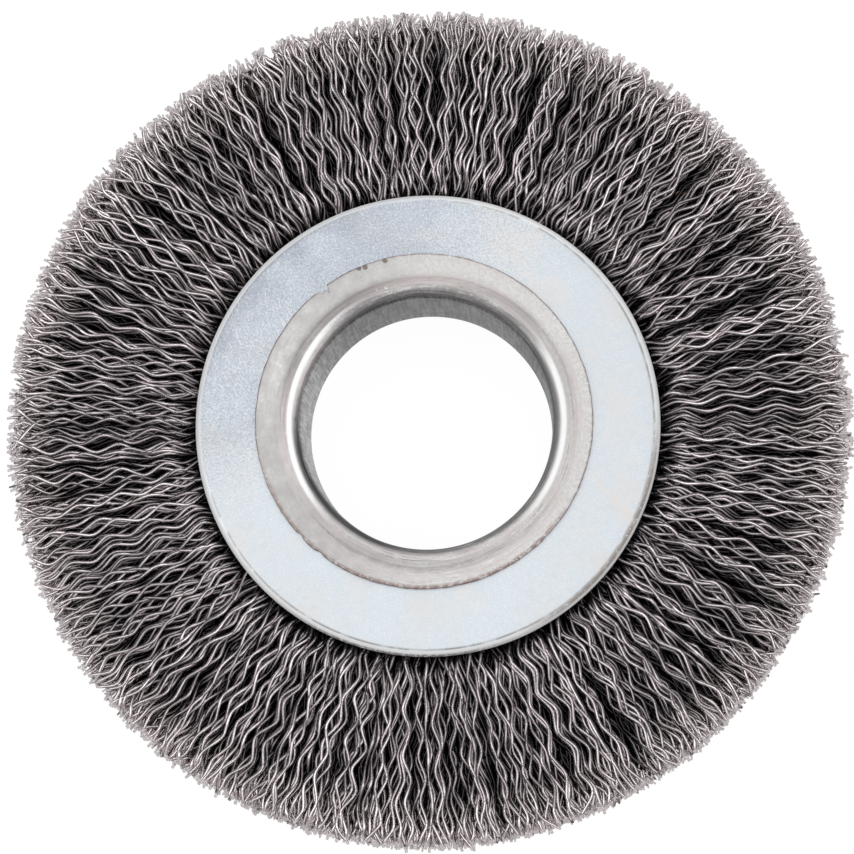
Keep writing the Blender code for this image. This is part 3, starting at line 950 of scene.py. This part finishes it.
def draw_wires(rng, number, layer):
    """Values for each wire of one layer of a tuft, as columns. Strays don't follow their lock."""
    count = layer.wires
    locks = draw_locks(number, layer)
    place = (np.arange(count) + rng.uniform(0, 1, count)) / count - 0.5
    lock = np.minimum(((place + 0.5) * LOCKS).astype(int), LOCKS - 1)
    stray = rng.random(count) < layer.stray
    stray_phase = number * PHASE_WAVES / TUFT_COUNT + rng.uniform(-0.5, 0.5, count)
    phase = np.where(stray, stray_phase, locks.phase[lock]) + rng.normal(0, WIRE_PHASE, count)
    stray_drift = rng.normal(0, STRAY_DRIFT, count)
    drift = np.where(stray, stray_drift, locks.drift[lock] + rng.normal(0, WIRE_DRIFT, count))
    stray_tilt = rng.uniform(-STRAY_TILT, STRAY_TILT, count)
    tilt = np.where(stray, stray_tilt, locks.tilt[lock] + rng.normal(0, WIRE_TILT, count))
    height = CRIMP_HALF_HEIGHT * rng.uniform(*WIRE_HEIGHTS, count)
    sink = rng.uniform(*layer.sink, count)
    rise = rng.normal(0, WIRE_RISE, count)
    length = locks.length[lock] * rng.uniform(*WIRE_LENGTHS, count)
    tip = locks.tip[lock] + rng.normal(0, ragged_between(number, WIRE_RAGGED), count)
    tip = np.minimum(tip, OUTER_RADIUS - WIRE_RADIUS)
    sway = rng.uniform(0, math.tau, count)
    tone = rng.uniform(0, 1, count)
    fray_side = rng.normal(0, FRAY_SIDE, count)
    fray_lift = rng.normal(0, FRAY_LIFT, count)
    lock_place = (lock + 0.5) / LOCKS - 0.5
    values = (
        place, lock_place, phase, drift, tilt, height, sink,
        rise, length, tip, sway, tone, fray_side, fray_lift,
    )
    return Wires(*(value[:, None] for value in values))


def shape_wires(number, layer, wires):
    """Centre lines of the wires, and the tone, painted shade by how deep they lie, and tip value of each of
    their points.
    """
    radius = layer.start + (wires.tip - layer.start) * np.linspace(0, 1, layer.rings)[None, :]
    outward = (radius - PLATE_RADIUS) / (OUTER_RADIUS - PLATE_RADIUS)
    wave = crimp_wave((radius - PLATE_RADIUS) / wires.length - wires.phase)
    sway = WIRE_SWAY * np.sin(outward * SWAY_TURN + wires.sway)
    frayed = np.clip((radius - FRAY_START) / (TIP_RADIUS - FRAY_START), 0, 1) ** 2
    sideways = wires.height * np.cos(wires.tilt) * wave + wires.drift * outward + sway
    sideways = sideways + wires.fray_side * frayed
    gathered = wires.place + LOCK_GATHER * (wires.lock_place - wires.place) * np.clip(outward, 0, 1)
    angle = (number + gathered) * TUFT_PITCH + sideways / radius
    room = fill_half(radius, wires.place) - WIRE_RADIUS
    under_lip = np.clip(1 - outward / LIP_REACH, 0, 1)
    below = (wires.sink + wires.rise) * outward + wires.sink * (1 - outward) + LIP_SINK * under_lip
    below = below - wires.height * np.sin(wires.tilt) * wave + wires.fray_lift * frayed
    lift = layer.facing * np.clip(room - below, -room, room)
    path = np.stack([radius * np.cos(angle), radius * np.sin(angle), MID_PLANE + lift], axis=-1)

    below_lock = fill_half(radius, wires.lock_place) - WIRE_RADIUS - np.abs(lift)
    # Painted shade grows with how deep a wire lies in the fill and under the plates' lips.
    depth_shade = np.clip(below_lock / DARK_DEPTH + LIP_SHADE * under_lip, 0, 1)
    pale = np.clip((radius - PALE_START) / (TIP_RADIUS - PALE_START), 0, 1)
    tone = wires.tone * np.ones_like(radius)
    return path, np.stack([tone, depth_shade * (1 - PALE_CLEARING * pale**2), pale], axis=-1)


def tube_corners(path, facing, taper):
    """Three corners round each point of the centre lines, with the face between two of them outwards."""
    tangent = np.gradient(path, axis=1)
    tangent = tangent / np.linalg.norm(tangent, axis=-1, keepdims=True)
    towards = np.zeros_like(path)
    towards[..., 2] = facing
    normal = towards - (towards * tangent).sum(-1, keepdims=True) * tangent
    normal = normal / np.linalg.norm(normal, axis=-1, keepdims=True)
    side = np.cross(tangent, normal)
    turns = [math.tau * (corner + 0.5) / 3 for corner in range(3)]
    radius = np.full((1, path.shape[1], 1), WIRE_RADIUS)
    radius[:, -1] = WIRE_RADIUS * taper
    corners = [path + radius * (math.cos(turn) * normal + math.sin(turn) * side) for turn in turns]
    return np.stack(corners, axis=2)


def tube_faces(count, rings, first):
    """Side faces and end caps of three-cornered tubes whose points start at an index."""
    wire = np.arange(count)[:, None, None] * rings * 3
    ring = np.arange(rings - 1)[None, :, None] * 3
    corner = np.arange(3)[None, None, :]
    following = (corner + 1) % 3
    base = first + wire + ring
    sides = np.stack([base + corner, base + following, base + 3 + following, base + 3 + corner], axis=-1)
    starts = first + np.arange(count)[:, None] * rings * 3
    ends = starts + (rings - 1) * 3
    caps = np.concatenate([starts + np.array([[2, 1, 0]]), ends + np.array([[0, 1, 2]])])
    return sides.reshape(-1, 4).tolist(), caps.tolist()


def web_points(number, columns):
    """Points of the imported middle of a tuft, its upper face first: a ridge and a groove in turns.

    The ridges follow the crimp. Under the plates the block rises to their lips, so that nothing shows
    through between them.
    """
    place = np.linspace(-0.5, 0.5, columns)[None, :]
    reach = np.interp(trim_of(number), (-1, 1), WEB_REACH)
    radius = np.linspace(WIRE_START, reach, WEB_ROWS)[:, None]
    centre = (number + place) * TUFT_PITCH
    phase = sum(swing * np.sin(centre * waves) for swing, waves in WEB_SWINGS)
    wave = crimp_wave((radius - PLATE_RADIUS) / CRIMP_LENGTH - phase)
    angle = centre + CRIMP_HALF_HEIGHT * wave / radius
    groove = np.where(np.arange(columns) % 2 == 1, 0.0, WEB_RIDGE_DEPTH)[None, :]
    lift = fill_half(radius, place) - WEB_SINK - groove
    lift[0] = PLATE_LIP - WEB_WALL_GAP
    layers = []
    for side in (1, -1):
        height = MID_PLANE + side * lift
        layer = np.stack([radius * np.cos(angle), radius * np.sin(angle), height], axis=-1)
        layers.append(layer.reshape(-1, 3))
    return np.concatenate(layers)


def web_faces(columns):
    """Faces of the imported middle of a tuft, and those of its outer end apart."""
    under = WEB_ROWS * columns
    faces = []
    for row in range(WEB_ROWS - 1):
        for column in range(columns - 1):
            corner = row * columns + column
            above = corner + columns
            faces.append((corner, above, above + 1, corner + 1))
            faces.append((under + corner, under + corner + 1, under + above + 1, under + above))
    end_faces = []
    for column in range(columns - 1):
        last = (WEB_ROWS - 1) * columns + column
        faces.append((column, column + 1, under + column + 1, under + column))
        end_faces.append((last + 1, last, under + last, under + last + 1))
    for row in range(WEB_ROWS - 1):
        left = row * columns
        right = left + columns - 1
        faces.append((left + columns, left, under + left, under + left + columns))
        faces.append((right, right + columns, under + right + columns, under + right))
    return faces, end_faces


def make_tuft(number, node, wire, wire_end):
    """Every wire of one tuft, as one piece that stands for the tuft's solid."""
    rng = np.random.default_rng([SEED, number])
    columns = 2 * WEB_RIDGES + 1
    points = web_points(number, columns)
    faces, caps = web_faces(columns)
    all_points = [points]
    all_looks = [np.tile(WEB_SHADED_LOOK, (len(points), 1))]
    total = len(points)
    for layer in LAYERS:
        path, look = shape_wires(number, layer, draw_wires(rng, number, layer))
        corners = tube_corners(path, layer.facing, STUB_TAPER if layer.start == STUB_START else TIP_TAPER)
        sides, ends = tube_faces(layer.wires, layer.rings, total)
        faces = faces + sides
        caps = caps + ends
        all_points.append(corners.reshape(-1, 3))
        all_looks.append(np.repeat(look.reshape(-1, 3), 3, axis=0))
        total += layer.wires * layer.rings * 3
    piece = add_mesh(f"wires_{number + 1:02d}", np.concatenate(all_points), faces + caps, [wire, wire_end])
    mesh = piece.data
    is_cap = np.arange(len(mesh.polygons)) >= len(faces)
    mesh.polygons.foreach_set("material_index", is_cap.astype(np.int32))
    mesh.polygons.foreach_set("use_smooth", ~is_cap)
    attribute = mesh.attributes.new("look", "FLOAT_COLOR", "POINT")
    values = np.ones((total, 4), dtype=np.float32)
    values[:, :3] = np.concatenate(all_looks)
    attribute.data.foreach_set("color", values.ravel())
    finish_piece(piece, "wire_steel", node)


def studio_world():
    """Bright overhead and dim towards the horizon, as between soft lamps, but white to the camera."""
    world = bpy.data.worlds.new("studio")
    bpy.context.scene.world = world
    world.use_nodes = True
    graph = Graph(world.node_tree)
    _, _, upward = graph.split(graph.node("ShaderNodeTexCoord").outputs["Generated"])
    sky = graph.node("ShaderNodeMapRange")
    graph.feed(sky.inputs["Value"], upward)
    sky.inputs["From Min"].default_value, sky.inputs["From Max"].default_value = SKY_SPAN
    sky.inputs["To Min"].default_value, sky.inputs["To Max"].default_value = SKY_LIGHT
    seen = graph.node("ShaderNodeLightPath").outputs["Is Camera Ray"]
    background = graph.tree.nodes["Background"]
    background.inputs["Color"].default_value = (*SKY_COLOUR, 1.0)
    graph.feed(background.inputs["Strength"], graph.math("MAXIMUM", sky.outputs["Result"], seen))


def add_lamp(name, place, size, power):
    """A square soft lamp that points at the brush."""
    light = bpy.data.lights.new(name, "AREA")
    light.size = size
    light.energy = power
    lamp = bpy.data.objects.new(name, light)
    lamp.location = place
    aim = Vector((0, 0, MID_PLANE)) - Vector(place)
    lamp.rotation_euler = aim.to_track_quat("-Z", "Y").to_euler()
    lamp.visible_camera = False
    bpy.context.collection.objects.link(lamp)


def set_stage():
    """A white floor, soft lamps and the studio round them."""
    corners = np.array([(-1, -1, 0), (1, -1, 0), (1, 1, 0), (-1, 1, 0)]) * FLOOR_SIZE
    corners = corners + np.array([0, 0, FLOOR_HEIGHT])
    floor = add_mesh("floor", corners, [(0, 1, 2, 3)], [floor_material()])
    studio_world()
    for lamp in LAMPS:
        add_lamp(*lamp)


def set_camera():
    """The photograph's view: its centre lies on the bore's axis at the middle of the hub."""
    target = Vector((0, 0, MID_PLANE))
    away = Vector((
        math.sin(CAMERA_TILT) * math.cos(CAMERA_DIRECTION),
        math.sin(CAMERA_TILT) * math.sin(CAMERA_DIRECTION),
        math.cos(CAMERA_TILT),
    ))
    up = Vector((0, 1, 0))
    up = (up - up.dot(away) * away).normalized()
    right = up.cross(away)
    data = bpy.data.cameras.new("camera")
    data.sensor_width = SENSOR_WIDTH
    data.lens = FOCAL_PIXELS * SENSOR_WIDTH / IMAGE_SIZE
    data.shift_x = -TARGET_PIXEL_SHIFT / IMAGE_SIZE
    data.shift_y = TARGET_PIXEL_SHIFT / IMAGE_SIZE
    data.clip_start = CLIP_START
    camera = bpy.data.objects.new("camera", data)
    place = target + away * CAMERA_DISTANCE
    camera.matrix_world = Matrix.Translation(place) @ Matrix((right, up, away)).transposed().to_4x4()
    bpy.context.collection.objects.link(camera)
    bpy.context.scene.camera = camera


def dress():
    """The camera, the stage and a piece for every CAD node but the core ring, which keeps its own."""
    set_camera()
    set_stage()
    zinc = ZincFinish().material
    make_sleeve()
    make_plate("plate_front", "front_plate", 1, zinc)
    make_plate("plate_rear", "rear_plate", -1, zinc)
    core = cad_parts["core_ring"]
    core.data.materials.clear()
    core.data.materials.append(core_material())
    wire = wire_material()
    wire_end = end_material()
    for number, node in enumerate(TUFT_NODES):
        make_tuft(number, node, wire, wire_end)
    bpy.context.scene.view_settings.view_transform = "Standard"


dress()
